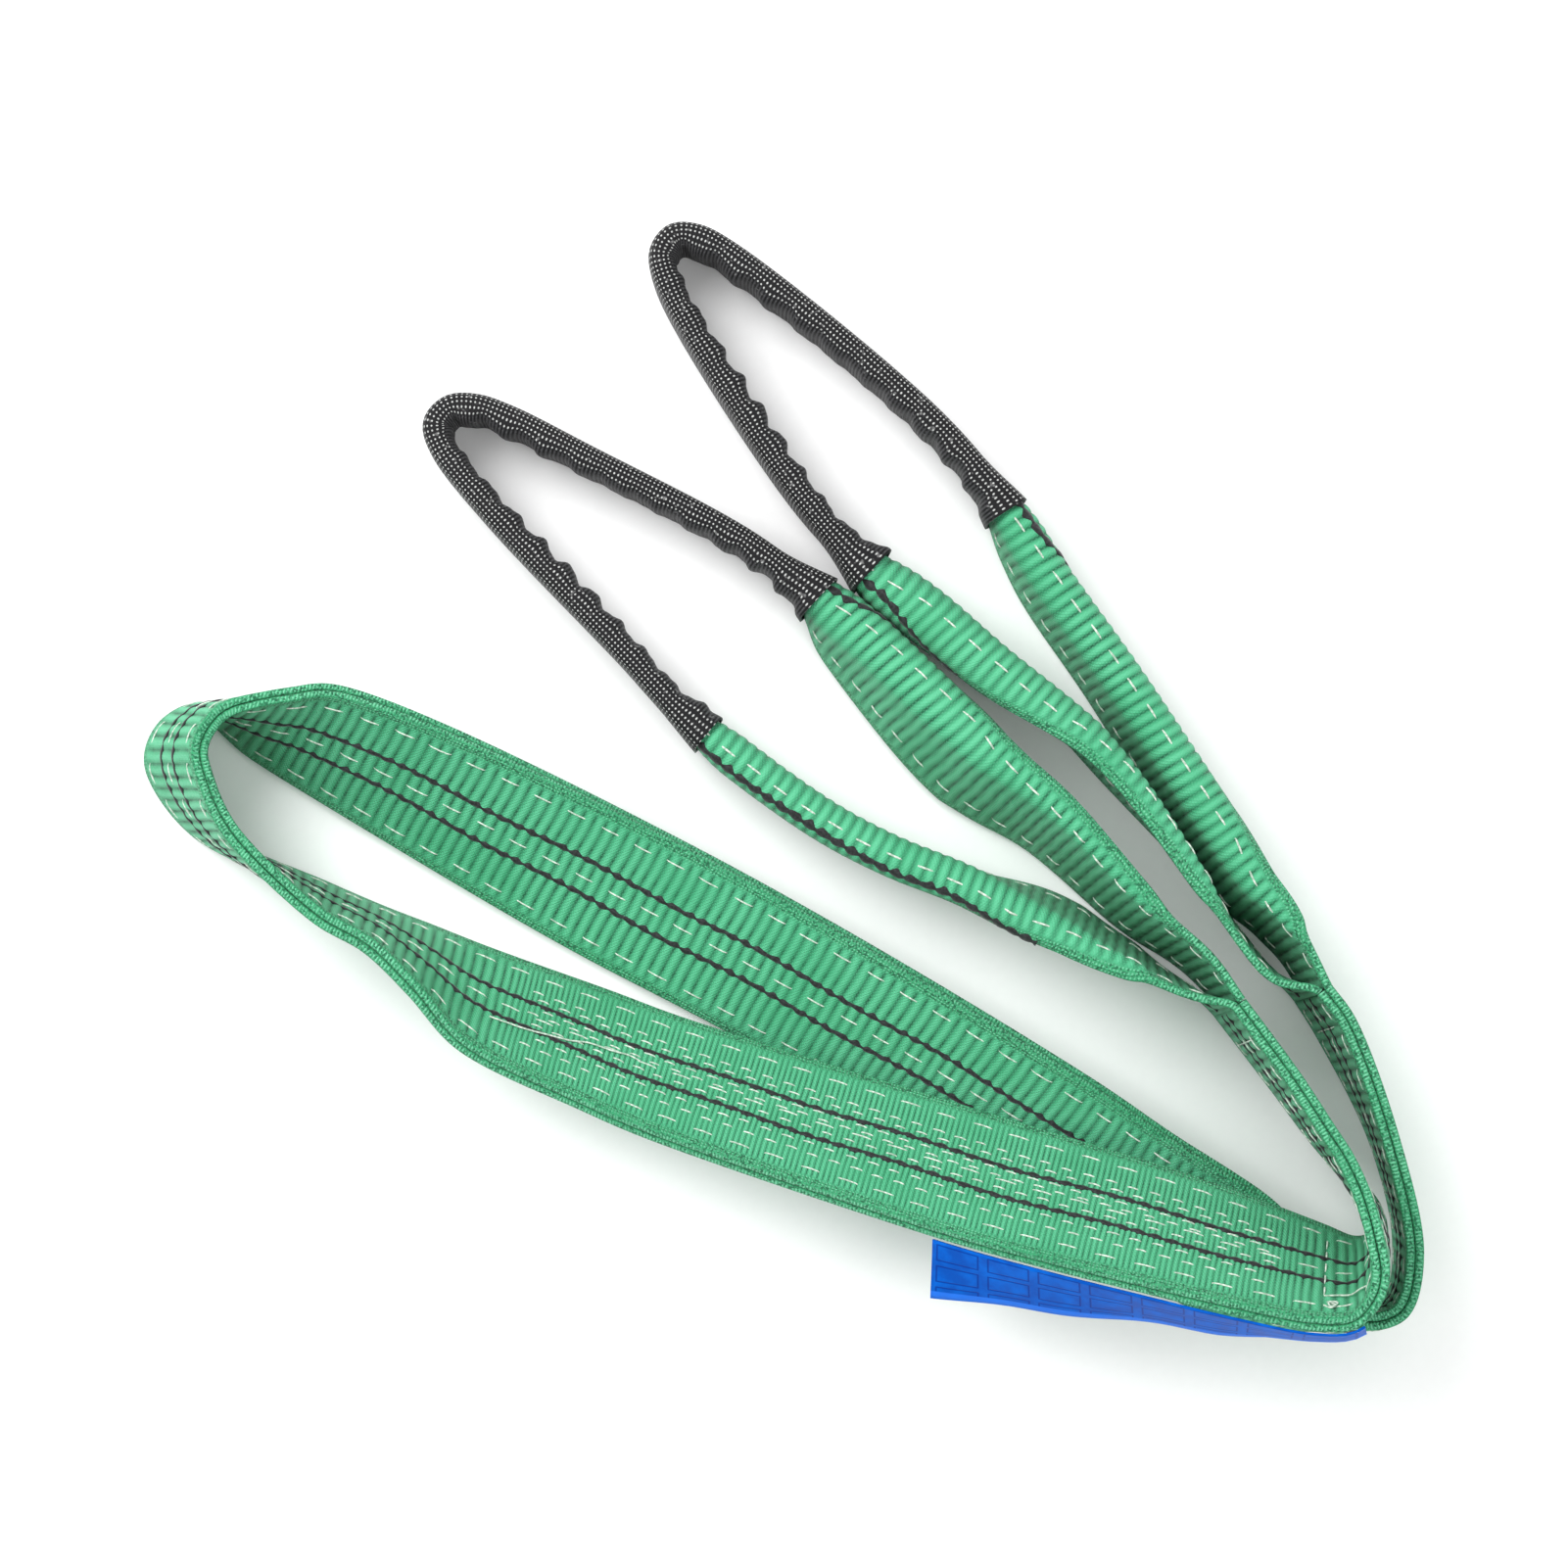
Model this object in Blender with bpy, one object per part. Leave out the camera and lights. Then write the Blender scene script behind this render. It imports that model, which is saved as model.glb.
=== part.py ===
"""Duplex polyester web sling, 60 mm wide and 2 m long, laid down in a loose figure on a flat surface.

The web is doubled along the body: two plies lie face to face and are sewn together. At each end the
plies part and run into an eye, which is one strap folded narrow inside a woven wear sleeve. Tables are
in millimetres and the meshes in metres. +Z is up, the sling lies on z = 0, and the origin is the middle
of its footprint. The body sets off from the eye 1 end and travels to the eye 2 end. The left of that
travel is its inner face, and an eye is travelled so that its left is the inside of the loop.
"""

import math

import bmesh
import bpy
import numpy as np

MM = 0.001

# Driving sizes, in millimetres.
WEB_WIDTH = 60.0
PLY = 3.0
CLEAR = 0.3
SPLIT_GAP = 3.5

# Sewing thread and woven-in tracer yarn, lying proud of the web.
THREAD_WIDTH = 1.0
THREAD_HEIGHT = 0.6
TRACER_WIDTH = 2.0
BRIDGE = CLEAR + THREAD_HEIGHT + CLEAR

# Places across the web, from its low edge (0) to its high edge (1).
SEAM_PLACES = {"low": 0.13, "middle": 0.5, "high": 0.87}
TRACER_PLACES = {"low": 0.384, "high": 0.616}
OVERLAP_ROWS = (0.27, 0.33, 0.42, 0.47, 0.56, 0.68, 0.76)
FOLD_SEAM_PLACE = 0.8

# Stretches along the body and along each eye, in millimetres from their starts.
OVERLAP_STRETCH = (812.0, 1104.0)
OVERLAP_PLAY = 0.25
ROOT_TACK_INSET = 14.0
ROOT_TACK_SPAN = (0.2, 0.8)
END_TACK_AT = 1120.0
END_TACK_SPAN = (0.18, 0.8)
SLEEVES = {1: (212.0, 528.0), 2: (215.0, 535.0)}
FOLD_SEAM_INSET = 12.0

# Wear sleeve: a flat woven tube with play all round the strap inside it.
SLEEVE_PLAY = 0.7
SLEEVE_WALL = 1.1
SLEEVE_CORNER = 1.6

# Label: a coated sheet hanging from the high edge of the body, on its outer face.
LABEL_THICKNESS = 0.8
LABEL_DROP = 27.0
LABEL_PLAY = 0.8

# Curve sampling, in millimetres and degrees.
FINE_STEP = 0.5
LONGEST_STEP = 30.0
SHORTEST_STEP = 3.0
LARGEST_TURN = 11.0

# Each row is a place along the route: the low edge's x, y and z, then how far the high edge stands
# out from it in x and y. The height between the edges follows from the width.
BODY_ROUTE = [
    (198, -81.5, 0.5, 0.5, 4),
    (206, -94.5, 0.5, 1, 5),
    (226, -134.5, 0.5, -3.5, 1.5),
    (235, -173.5, 0.5, -4.5, 0.5),
    (231, -195.5, 0.5, -6, 2),
    (213.5, -204.5, 1, -4.5, 8.5),
    (202, -204.5, 1, -0.5, 17.5),
    (179, -204, 2, 13.5, 33.5),
    (152.5, -195, 3, 26, 41.5),
    (123, -176.5, 3, 22.5, 44.5),
    (83.5, -148.5, 3, 27, 40),
    (-23.5, -90.5, 3, 26, 46.5),
    (-83.5, -59, 3, 27.5, 46),
    (-184.5, 2, 2.5, 24.5, 29.5),
    (-199.5, 12, 1.5, 23, 18),
    (-217.5, 26.5, 1, 19.5, -2),
    (-229.5, 22, 1.5, 24, -4),
    (-235.5, 12, 2, 26.5, -2.5),
    (-234.5, 2, 2, 27.5, -2.5),
    (-218, -19, 1, 20.5, -1),
    (-169.5, -41, 1, 4, -10),
    (-149.5, -49.5, 1, 2.5, -12.5),
    (-130.5, -56.5, 1.5, -0.5, -21.5),
    (-109, -64.5, 2, -5, -33.5),
    (-62, -81, 2.5, -9.5, -38.5),
    (-34, -91, 8.5, -12.5, -39),
    (75, -124, 29.5, -15, -41),
    (110.5, -134.5, 39.5, -15, -39.5),
    (146, -145, 48, -14.5, -37),
    (175, -155.5, 52.5, -13, -33),
    (198, -164.5, 53, -10, -28.5),
    (209, -169, 51.5, -8, -23),
    (216, -168.5, 49, -8, -16.5),
    (219.5, -164.5, 46, -8.5, -12),
    (218, -157, 42, -8.5, -6.5),
    (212.5, -149, 36.5, -6, -1),
    (205.5, -140, 30.5, -4, 3),
    (199, -131.5, 24.5, -3.5, 5),
    (187, -114, 13.5, -2, 5.5),
    (167, -86.5, 3.5, 0, 4),
]

# Eye rows carry a sixth number, the folded width, and leave out the two ends, which the body sets.
EYE_ROUTES = {
    1: [
        (186.5, -57, 0.5, 1.5, 7, 57),
        (170.5, -38, 0.5, 3, 6.5, 52),
        (123, 36.5, 1, 5, 3, 37),
        (99, 72, 1.5, 5, 2, 33),
        (83.5, 103.5, 2.5, 0, 0, 31),
        (58, 133.5, 2.5, 0, 0, 31),
        (-17.5, 195.5, 2.5, 0, 0, 31),
        (-30, 202, 2.5, 0, 0, 31),
        (-38, 202, 2.5, 0, 0, 31),
        (-42.5, 196, 2.5, 0, 0, 31),
        (-41, 187, 2.5, 0, 0, 31),
        (-31, 167, 2.5, 0, 0, 31),
        (10, 105, 2.5, 0, 0, 31),
        (34, 78.5, 2.5, 0, 0, 31),
        (51.5, 58.5, 2, 6, 4.5, 35),
        (71.5, 38.5, 1, 7.5, 5, 42),
        (116, -1, 0.5, 6, 6, 53),
        (172, -54.5, 0.5, -5.5, -4.5, 59),
        (184.5, -69.5, 0.5, -4, -4.5, 60),
    ],
    2: [
        (156, -72.5, 0.5, 3, 5, 60),
        (136, -56.5, 0.5, 5, 7.5, 58),
        (97.5, -20.5, 1, 9, 10.5, 55),
        (75, -6.5, 1, 13, 13, 53),
        (57.5, 9, 1.5, 14.5, 12, 48),
        (26, 49.5, 2, 8, 6.5, 35),
        (14.5, 69, 2.5, 0, 0, 31),
        (-12, 88.5, 2.5, 0, 0, 31),
        (-70.5, 119.5, 2.5, 0, 0, 31),
        (-100, 134.5, 2.5, 0, 0, 31),
        (-112, 138.5, 2.5, 0, 0, 31),
        (-121, 138, 2.5, 0, 0, 31),
        (-126.5, 132, 2.5, 0, 0, 31),
        (-124, 123, 2.5, 0, 0, 31),
        (-105.5, 99.5, 2.5, 0, 0, 31),
        (-56, 47.5, 2.5, 0, 0, 31),
        (-34, 24, 2.5, 0, 0, 31),
        (14, -13, 0.5, 0, 0, 37),
        (41, -28, 0.5, 0, 0, 42),
        (70, -40, 0.5, 0, 0, 47),
        (100.5, -48, 1, -6.5, -7, 52),
        (125, -61, 1, -7, -7, 56),
        (155.5, -78, 0.5, -2.5, -2.5, 60),
    ],
}

# Label rows: the distance along the body where the root is sewn, and how far the free edge stands
# out from the root in x and y.
LABEL_ROUTE = [
    (981, 0, -22),
    (1010, 1.5, -18),
    (1037, 2.5, -14.5),
    (1067, 3, -11),
    (1086, 3, -9),
    (1104, 2.5, -6.5),
    (1119, 2.5, -6),
    (1134, 4.5, -5),
]

COLOURS = {
    "webbing_green": ((0.035, 0.27, 0.12), 0.75, 0.0),
    "thread_white": ((0.78, 0.8, 0.76), 0.6, 0.0),
    "tracer_black": ((0.008, 0.009, 0.01), 0.7, 0.0),
    "sleeve_black": ((0.03, 0.03, 0.033), 0.8, 0.0),
    "label_blue": ((0.0, 0.07, 0.42), 0.35, 0.0),
}


def clear_scene():
    for old in list(bpy.data.objects):
        bpy.data.objects.remove(old, do_unlink=True)


def new_collection(name):
    collection = bpy.data.collections.new(name)
    bpy.context.scene.collection.children.link(collection)
    return collection


def new_material(name):
    colour, roughness, metallic = COLOURS[name]
    material = bpy.data.materials.new(name)
    material.use_nodes = True
    shader = material.node_tree.nodes["Principled BSDF"]
    shader.inputs["Base Color"].default_value = (*colour, 1.0)
    shader.inputs["Roughness"].default_value = roughness
    shader.inputs["Metallic"].default_value = metallic
    return material


def unit(vectors):
    return vectors / np.linalg.norm(vectors, axis=-1, keepdims=True)


def edges_of(rows, width=WEB_WIDTH):
    """The low edge and the high edge of a route's rows, side by side in one array."""
    edges = []
    for x, y, z, out_x, out_y, *folded in rows:
        across = folded[0] if folded else width
        rise = math.sqrt(across**2 - out_x**2 - out_y**2)
        edges.append((x, y, z, x + out_x, y + out_y, z + rise))
    return np.array(edges)


def smooth(points):
    """A centripetal Catmull-Rom curve through the points, read about every FINE_STEP."""
    middle = (points[:, :3] + points[:, 3:6]) / 2
    chords = np.linalg.norm(np.diff(middle, axis=0), axis=1)
    knots = np.concatenate([[0.0], np.cumsum(np.sqrt(chords))])
    slopes = np.gradient(points, knots, axis=0)
    curve = []
    for i, chord in enumerate(chords):
        span = knots[i + 1] - knots[i]
        for v in np.arange(0.0, 1.0, 1.0 / math.ceil(chord / FINE_STEP)):
            near = (2 * v**3 - 3 * v**2 + 1) * points[i] + (v**3 - 2 * v**2 + v) * span * slopes[i]
            far = (3 * v**2 - 2 * v**3) * points[i + 1] + (v**3 - v**2) * span * slopes[i + 1]
            curve.append(near + far)
    curve.append(points[-1])
    return np.array(curve)


class Ribbon:
    """The middle surface of a web: its two edges, its width, its normal and its length so far."""

    def __init__(self, edges):
        curve = smooth(edges)
        self.low = curve[:, :3]
        self.high = curve[:, 3:6]
        middle = (self.low + self.high) / 2
        self.travel = unit(np.gradient(middle, axis=0))
        self.width = np.linalg.norm(self.high - self.low, axis=1)
        self.across = unit(self.high - self.low)
        self.left = unit(np.cross(self.across, self.travel))
        steps = np.linalg.norm(np.diff(middle, axis=0), axis=1)
        self.length = np.concatenate([[0.0], np.cumsum(steps)])

    def index(self, length):
        return int(np.abs(self.length - length).argmin())

    def point(self, i, across, out):
        """The point at station i, at a share of the width and a distance off the middle surface."""
        return self.low[i] + (self.high[i] - self.low[i]) * across + self.left[i] * out

    def stations(self, start=0.0, end=None, also=()):
        """Stations from start to end, closer together where the web bends or twists."""
        first = self.index(start)
        last = self.index(self.length[-1] if end is None else end)
        needed = {self.index(length) for length in (*also, self.length[-1])}
        marks = self.length[sorted(needed)]
        chosen = [0]
        for i in range(1, len(self.length)):
            room = np.abs(marks - self.length[i]).min() > SHORTEST_STEP
            if i in needed or (room and self.is_due(chosen[-1], i)):
                chosen.append(i)
        inner = [i for i in chosen if first < i < last]
        return [first, *inner, last]

    def is_due(self, before, i):
        turn = math.degrees(math.acos(min(1.0, float(self.left[before] @ self.left[i]))))
        twist = math.degrees(math.acos(min(1.0, float(self.across[before] @ self.across[i]))))
        far = self.length[i] - self.length[before] > LONGEST_STEP
        return far or max(turn, twist) > LARGEST_TURN


def add_object(name, mesh_parts, material, collection, parent):
    """One closed mesh from points in millimetres, with its origin at its parent's place."""
    points, faces = mesh_parts
    mesh = bpy.data.meshes.new(name)
    origin = np.array(parent.location) if parent.parent else np.zeros(3)
    mesh.from_pydata((np.array(points) * MM - origin).tolist(), [], faces)
    cleaner = bmesh.new()
    cleaner.from_mesh(mesh)
    bmesh.ops.recalc_face_normals(cleaner, faces=cleaner.faces)
    cleaner.to_mesh(mesh)
    cleaner.free()
    mesh.materials.append(material)
    piece = bpy.data.objects.new(name, mesh)
    piece.parent = parent
    collection.objects.link(piece)
    return piece


def add_pivot(name, place, collection, parent=None):
    pivot = bpy.data.objects.new(name, None)
    pivot.location = (np.array(place) * MM).tolist()
    pivot.parent = parent
    pivot.empty_display_size = 0.02
    collection.objects.link(pivot)
    return pivot


def band(before, after, size, crossed=()):
    """Triangles between two rings. The sides listed in crossed are cut along the other diagonal."""
    faces = []
    for j in range(size):
        k = (j + 1) % size
        if j in crossed:
            faces.append((before + j, before + k, after + j))
            faces.append((before + k, after + k, after + j))
        else:
            faces.append((before + j, before + k, after + k))
            faces.append((before + j, after + k, after + j))
    return faces


def loft(rings, crossed=()):
    """A closed solid through rings of points, with a flat cap at each end."""
    size = len(rings[0])
    points = [point for ring in rings for point in ring]
    faces = [tuple(range(size)), tuple(range(len(points) - size, len(points)))]
    for i in range(len(rings) - 1):
        faces += band(i * size, (i + 1) * size, size, crossed)
    return points, faces


def tube(outer_rings, inner_rings):
    """A closed solid between two lofts of the same shape, open at both ends."""
    size = len(outer_rings[0])
    points = [point for ring in [*outer_rings, *inner_rings] for point in ring]
    inside = len(outer_rings) * size
    last = inside - size
    faces = band(0, inside, size) + band(last, inside + last, size)
    for i in range(len(outer_rings) - 1):
        faces += band(i * size, (i + 1) * size, size)
        faces += band(inside + i * size, inside + (i + 1) * size, size)
    return points, faces


def sweep(ribbon, stations, section):
    """A solid along the ribbon. The section is a list of (share of the width, distance off it)."""
    return loft([[ribbon.point(i, across, out) for across, out in section] for i in stations])


def ply_section(side):
    """One ply: a plain face towards the other ply, and edges under each seam and tracer outside."""
    inside = side * CLEAR / 2
    outside = side * (CLEAR / 2 + PLY)
    places = sorted([1.0, *SEAM_PLACES.values(), *TRACER_PLACES.values(), 0.0], reverse=True)
    return [(0.0, inside), (1.0, inside)] + [(place, outside) for place in places]


def yarn_section(place, width, side, web_width=WEB_WIDTH, face=CLEAR / 2 + PLY):
    """A ridge of yarn lying along the web, just clear of one of its faces."""
    half = width / 2 / web_width
    base = side * (face + CLEAR)
    ridge = side * (face + CLEAR + THREAD_HEIGHT)
    return [(place - half, base), (place + half, base), (place, ridge)]


def thread_path(ribbon, side, path):
    """A thread through (length along the web, share of the width, height) places, mitred at turns."""
    flat = np.array([(length, across * WEB_WIDTH) for length, across, _ in path])
    steps = unit(np.diff(flat, axis=0))
    normals = np.column_stack([-steps[:, 1], steps[:, 0]]) * THREAD_WIDTH / 2
    before = np.vstack([normals[:1], normals])
    after = np.vstack([normals, normals[-1:]])
    mitres = (before + after) / (1 + np.sum(before * after, axis=1) / (THREAD_WIDTH / 2) ** 2)[:, None]
    rings = []
    for (along, over), mitre, (_, _, base) in zip(flat, mitres, path):
        feet = [(along - mitre[0], over - mitre[1]), (along + mitre[0], over + mitre[1])]
        ring = [ribbon.point(ribbon.index(s), u / WEB_WIDTH, side * base) for s, u in feet]
        ridge = side * (base + THREAD_HEIGHT)
        rings.append(ring + [ribbon.point(ribbon.index(along), over / WEB_WIDTH, ridge)])
    return loft(rings)


def crossing_thread(ribbon, side, at, span):
    """A thread across the web, over the seams and tracers that it crosses."""
    base = CLEAR / 2 + PLY + BRIDGE
    return thread_path(ribbon, side, [(at, span[0], base), (at, span[1], base)])


def serpentine(ribbon, side, stations, rows):
    """One thread sewn to and fro along the web, row after row, bridging what it crosses."""
    lengths = [float(ribbon.length[i]) for i in stations]
    surface = CLEAR / 2 + PLY + CLEAR + OVERLAP_PLAY
    path = []
    for number, row in enumerate(rows):
        order = lengths if number % 2 == 0 else lengths[::-1]
        for step, length in enumerate(order):
            turning = step in (0, len(order) - 1)
            path.append((length, row, surface + (BRIDGE if turning else 0.0)))
    return thread_path(ribbon, side, path)


def eye_thickness(width):
    """The strap is folded lengthwise, so it is as much thicker as it is narrower."""
    return PLY * WEB_WIDTH / width


def eye_ring(ribbon, i):
    half = eye_thickness(ribbon.width[i]) / 2
    section = [(0.0, half), (1.0, half), (1.0, -half), (FOLD_SEAM_PLACE, -half), (0.0, -half)]
    return [ribbon.point(i, across, out) for across, out in section]


def sleeve_ring(ribbon, i, play, corner):
    """An eight-sided ring round the strap, with its corners cut off."""
    width = ribbon.width[i]
    side = eye_thickness(width) / 2 + play
    low = -play / width
    high = 1.0 + play / width
    cut = corner / width
    half = [(low + cut, side), (high - cut, side), (high, side - corner), (high, corner - side)]
    section = half + [(1.0 - across, -out) for across, out in half]
    return [ribbon.point(i, across, out) for across, out in section]


def split_ends(body, end):
    """Edges of the two eye ends beyond a split, inner ply first, and the middle of the gap."""
    station = 0 if end == 1 else -1
    onward = body.travel[station] * (-1 if end == 1 else 1)
    shift = body.left[station] * (CLEAR + PLY) / 2
    edges = [body.low[station] + onward * SPLIT_GAP, body.high[station] + onward * SPLIT_GAP]
    inner = np.concatenate([edge + shift for edge in edges])
    outer = np.concatenate([edge - shift for edge in edges])
    pivot = (body.low[station] + body.high[station]) / 2 + onward * SPLIT_GAP / 2
    return inner, outer, pivot


def eye_ribbon(body, number):
    inner, outer, _ = split_ends(body, number)
    start, end = (inner, outer) if number == 1 else (outer, inner)
    return Ribbon(np.vstack([start, edges_of(EYE_ROUTES[number]), end]))


def add_plies(body, stations, build):
    for name, side in (("inner", 1), ("outer", -1)):
        build(f"body_ply_{name}", sweep(body, stations, ply_section(side)), "webbing_green")


def add_seams(body, stations, build):
    for place_name, place in SEAM_PLACES.items():
        for thread, side in (("needle", 1), ("bobbin", -1)):
            section = yarn_section(place, THREAD_WIDTH, side)
            build(f"seam_{place_name}_{thread}_thread", sweep(body, stations, section), "thread_white")


def add_tracers(body, stations, build):
    for place_name, place in TRACER_PLACES.items():
        for face, side in (("inner", 1), ("outer", -1)):
            section = yarn_section(place, TRACER_WIDTH, side)
            build(f"tracer_{place_name}_{face}_face", sweep(body, stations, section), "tracer_black")


def add_overlap_seams(body, stations, build):
    start, end = OVERLAP_STRETCH
    stations = [i for i in stations if start - FINE_STEP < body.length[i] < end + FINE_STEP]
    for thread, side in (("needle", 1), ("bobbin", -1)):
        shape = serpentine(body, side, stations, OVERLAP_ROWS)
        build(f"overlap_seam_{thread}_thread", shape, "thread_white")


def root_tacks(body):
    return {1: ROOT_TACK_INSET, 2: body.length[-1] - ROOT_TACK_INSET}


def add_tacks(body, build):
    for number, at in root_tacks(body).items():
        for face, side in (("inner", 1), ("outer", -1)):
            shape = crossing_thread(body, side, at, ROOT_TACK_SPAN)
            build(f"eye_{number}_root_tack_{face}", shape, "thread_white")
    build("body_end_tack", crossing_thread(body, 1, END_TACK_AT, END_TACK_SPAN), "thread_white")


def add_eye(ribbon, number, build):
    start, end = SLEEVES[number]
    marks = (FOLD_SEAM_INSET, start - FOLD_SEAM_INSET, start, end)
    marks += (end + FOLD_SEAM_INSET, ribbon.length[-1] - FOLD_SEAM_INSET)
    everywhere = ribbon.stations(also=marks)
    build(f"eye_{number}_webbing", loft([eye_ring(ribbon, i) for i in everywhere]), "webbing_green")
    add_sleeve(ribbon, number, ribbon.stations(start, end, marks), build)
    add_fold_seam(ribbon, f"eye_{number}_fold_seam_a", ribbon.stations(*marks[:2], marks), build)
    add_fold_seam(ribbon, f"eye_{number}_fold_seam_b", ribbon.stations(*marks[4:], marks), build)


def add_sleeve(ribbon, number, stations, build):
    outside = SLEEVE_PLAY + SLEEVE_WALL
    outer = [sleeve_ring(ribbon, i, outside, SLEEVE_CORNER) for i in stations]
    inner = [sleeve_ring(ribbon, i, SLEEVE_PLAY, SLEEVE_CORNER - SLEEVE_WALL) for i in stations]
    build(f"wear_sleeve_{number}", tube(outer, inner), "sleeve_black")


def add_fold_seam(ribbon, name, stations, build):
    """The thread that keeps the strap folded, on the outside of the loop."""
    rings = []
    for i in stations:
        width = ribbon.width[i]
        face = eye_thickness(width) / 2
        section = yarn_section(FOLD_SEAM_PLACE, THREAD_WIDTH, -1, width, face)
        rings.append([ribbon.point(i, across, out) for across, out in section])
    build(name, loft(rings), "thread_white")


def label_rows(body, stations):
    """Root and free edge of the label at each station that it reaches."""
    at, out_x, out_y = np.array(LABEL_ROUTE).T
    hang = CLEAR / 2 + PLY + LABEL_PLAY
    rows = []
    for i in stations:
        length = body.length[i]
        if not at[0] - FINE_STEP < length < at[-1] + FINE_STEP:
            continue
        step_x = np.interp(length, at, out_x)
        step_y = np.interp(length, at, out_y)
        fall = math.sqrt(LABEL_DROP**2 - step_x**2 - step_y**2)
        root = body.point(i, 1.0, -hang)
        rows.append((root, root + np.array([step_x, step_y, -fall])))
    return rows


def label_solid(rows):
    """A sheet through the rows, its back cut along the same diagonals as its front."""
    roots = np.array([root for root, _ in rows])
    along = unit(np.gradient(roots, axis=0))
    rings = []
    for (root, free), forward in zip(rows, along):
        half = unit(np.cross(free - root, forward)) * LABEL_THICKNESS / 2
        rings.append([root + half, free + half, free - half, root - half])
    return loft(rings, crossed=(2,))


def main():
    clear_scene()
    collection = new_collection("web_sling")
    materials = {name: new_material(name) for name in COLOURS}
    root = add_pivot("sling_root", (0.0, 0.0, 0.0), collection)

    def builder(parent):
        def build(name, mesh_parts, material):
            return add_object(name, mesh_parts, materials[material], collection, parent)

        return build

    body = Ribbon(edges_of(BODY_ROUTE))
    label_ends = (LABEL_ROUTE[0][0], LABEL_ROUTE[-1][0])
    marks = (*OVERLAP_STRETCH, *label_ends, *root_tacks(body).values(), END_TACK_AT)
    stations = body.stations(also=marks)
    add_plies(body, stations, builder(root))
    add_seams(body, stations, builder(root))
    add_tracers(body, stations, builder(root))
    add_overlap_seams(body, stations, builder(root))
    add_tacks(body, builder(root))
    for number in EYE_ROUTES:
        pivot = add_pivot(f"eye_{number}_pivot", split_ends(body, number)[2], collection, root)
        add_eye(eye_ribbon(body, number), number, builder(pivot))
    rows = label_rows(body, stations)
    hinge = add_pivot("label_hinge", np.mean([row[0] for row in rows], axis=0), collection, root)
    builder(hinge)("label", label_solid(rows), "label_blue")


main()
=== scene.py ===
"""Looks of the flat web sling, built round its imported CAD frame.

The routes are the CAD part's own, in millimetres. A Web turns a place on the flat web, as a length
along it, a distance over its width and a height off its middle surface, into a place in the scene.
Webbing, stitches and tracer yarns are all laid out on the flat web and bent along its route.
Where the route of an eye is narrower than the web, the web's top rolls over outward.
"""

import math

import bpy
import numpy as np
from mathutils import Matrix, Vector


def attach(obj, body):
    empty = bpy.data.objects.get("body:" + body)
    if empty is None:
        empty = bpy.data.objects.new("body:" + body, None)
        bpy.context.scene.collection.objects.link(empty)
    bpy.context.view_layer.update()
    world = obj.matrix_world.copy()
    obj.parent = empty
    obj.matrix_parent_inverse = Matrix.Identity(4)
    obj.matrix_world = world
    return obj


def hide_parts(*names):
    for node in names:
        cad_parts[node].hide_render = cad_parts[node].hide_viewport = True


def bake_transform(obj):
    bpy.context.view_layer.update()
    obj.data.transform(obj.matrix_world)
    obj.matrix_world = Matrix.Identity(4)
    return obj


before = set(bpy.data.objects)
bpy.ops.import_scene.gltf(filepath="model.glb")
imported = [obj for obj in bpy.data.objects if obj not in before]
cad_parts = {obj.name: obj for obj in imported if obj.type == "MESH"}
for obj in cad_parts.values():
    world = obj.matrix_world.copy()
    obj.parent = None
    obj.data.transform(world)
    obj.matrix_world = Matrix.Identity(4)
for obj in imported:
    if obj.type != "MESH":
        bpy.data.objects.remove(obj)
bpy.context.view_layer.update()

MM = 0.001

# Webbing, in millimetres. Side 1 of the body is its inner face, and side -1 its outer face.
WEB_WIDTH = 60.0
PLY = 3.0
CLEAR = 0.3
PLY_OFFSET = (CLEAR + PLY) / 2
SIDES = {"inner": 1, "outer": -1}
THREAD_SIDES = {"needle": 1, "bobbin": -1}
ROUTE_STEP = 0.5

# The web's section: plain selvedges, and faces with more points where they show.
SELVEDGE = 4.5
SELVEDGE_FADE = 1.5
SELVEDGE_HALF = 0.8
FACE_INSET = 0.6
FACE_STEP = 1.5
HIDDEN_STEP = 6.0

# Ribs across the web. They are finer along the overlap, and wander a little over the width.
RIB_PITCH = 4.5
FINE_RIB_PITCH = 2.1
RIB_CHANGE = 20.0
RIB_DEPTH = 0.8
RIB_RISE = 2.5
RIB_MIDDLE = 0.75
RIB_ROUNDING = 0.55
RIB_WANDER = 0.15
RIB_WANDER_RATE = 0.3
STEPS_PER_RIB = 5

# The roll of the web's top in the eyes: tight in the sleeves and open in the two bare arms. An open
# roll is wide enough to turn only ROLL_TURN radians, up to the radius given for its arm. It opens
# over a stretch from inside the sleeve's mouth to outside it.
ROLL_ONSET = 3.0
TIGHT_RADIUS = 1.65
OPEN_RADII = {1: (6.5, 8.5), 2: (8.5, 6.2)}
ROLL_TURN = 2.2
MOUTH_INSIDE = 24.0
MOUTH_OUTSIDE = 14.0

# Stretches along the body and the eyes, in millimetres.
OVERLAP_STRETCH = (812.0, 1104.0)
END_TACK_AT = 1120.0
ROOT_TACK_INSET = 14.0
SLEEVES = {1: (212.0, 528.0), 2: (215.0, 535.0)}
SPLICE = 20.0
BLEND_AIM = 40.0
SEAM_INSET = 3.0
ARM_SEAM_INSET = 8.0
BODY_TRACER_INSET = 0.5
ARM_TRACER_INSET = 1.0
UNDER_SLEEVE = 6.0
OVERLAP_STAGGER = 2.7

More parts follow.
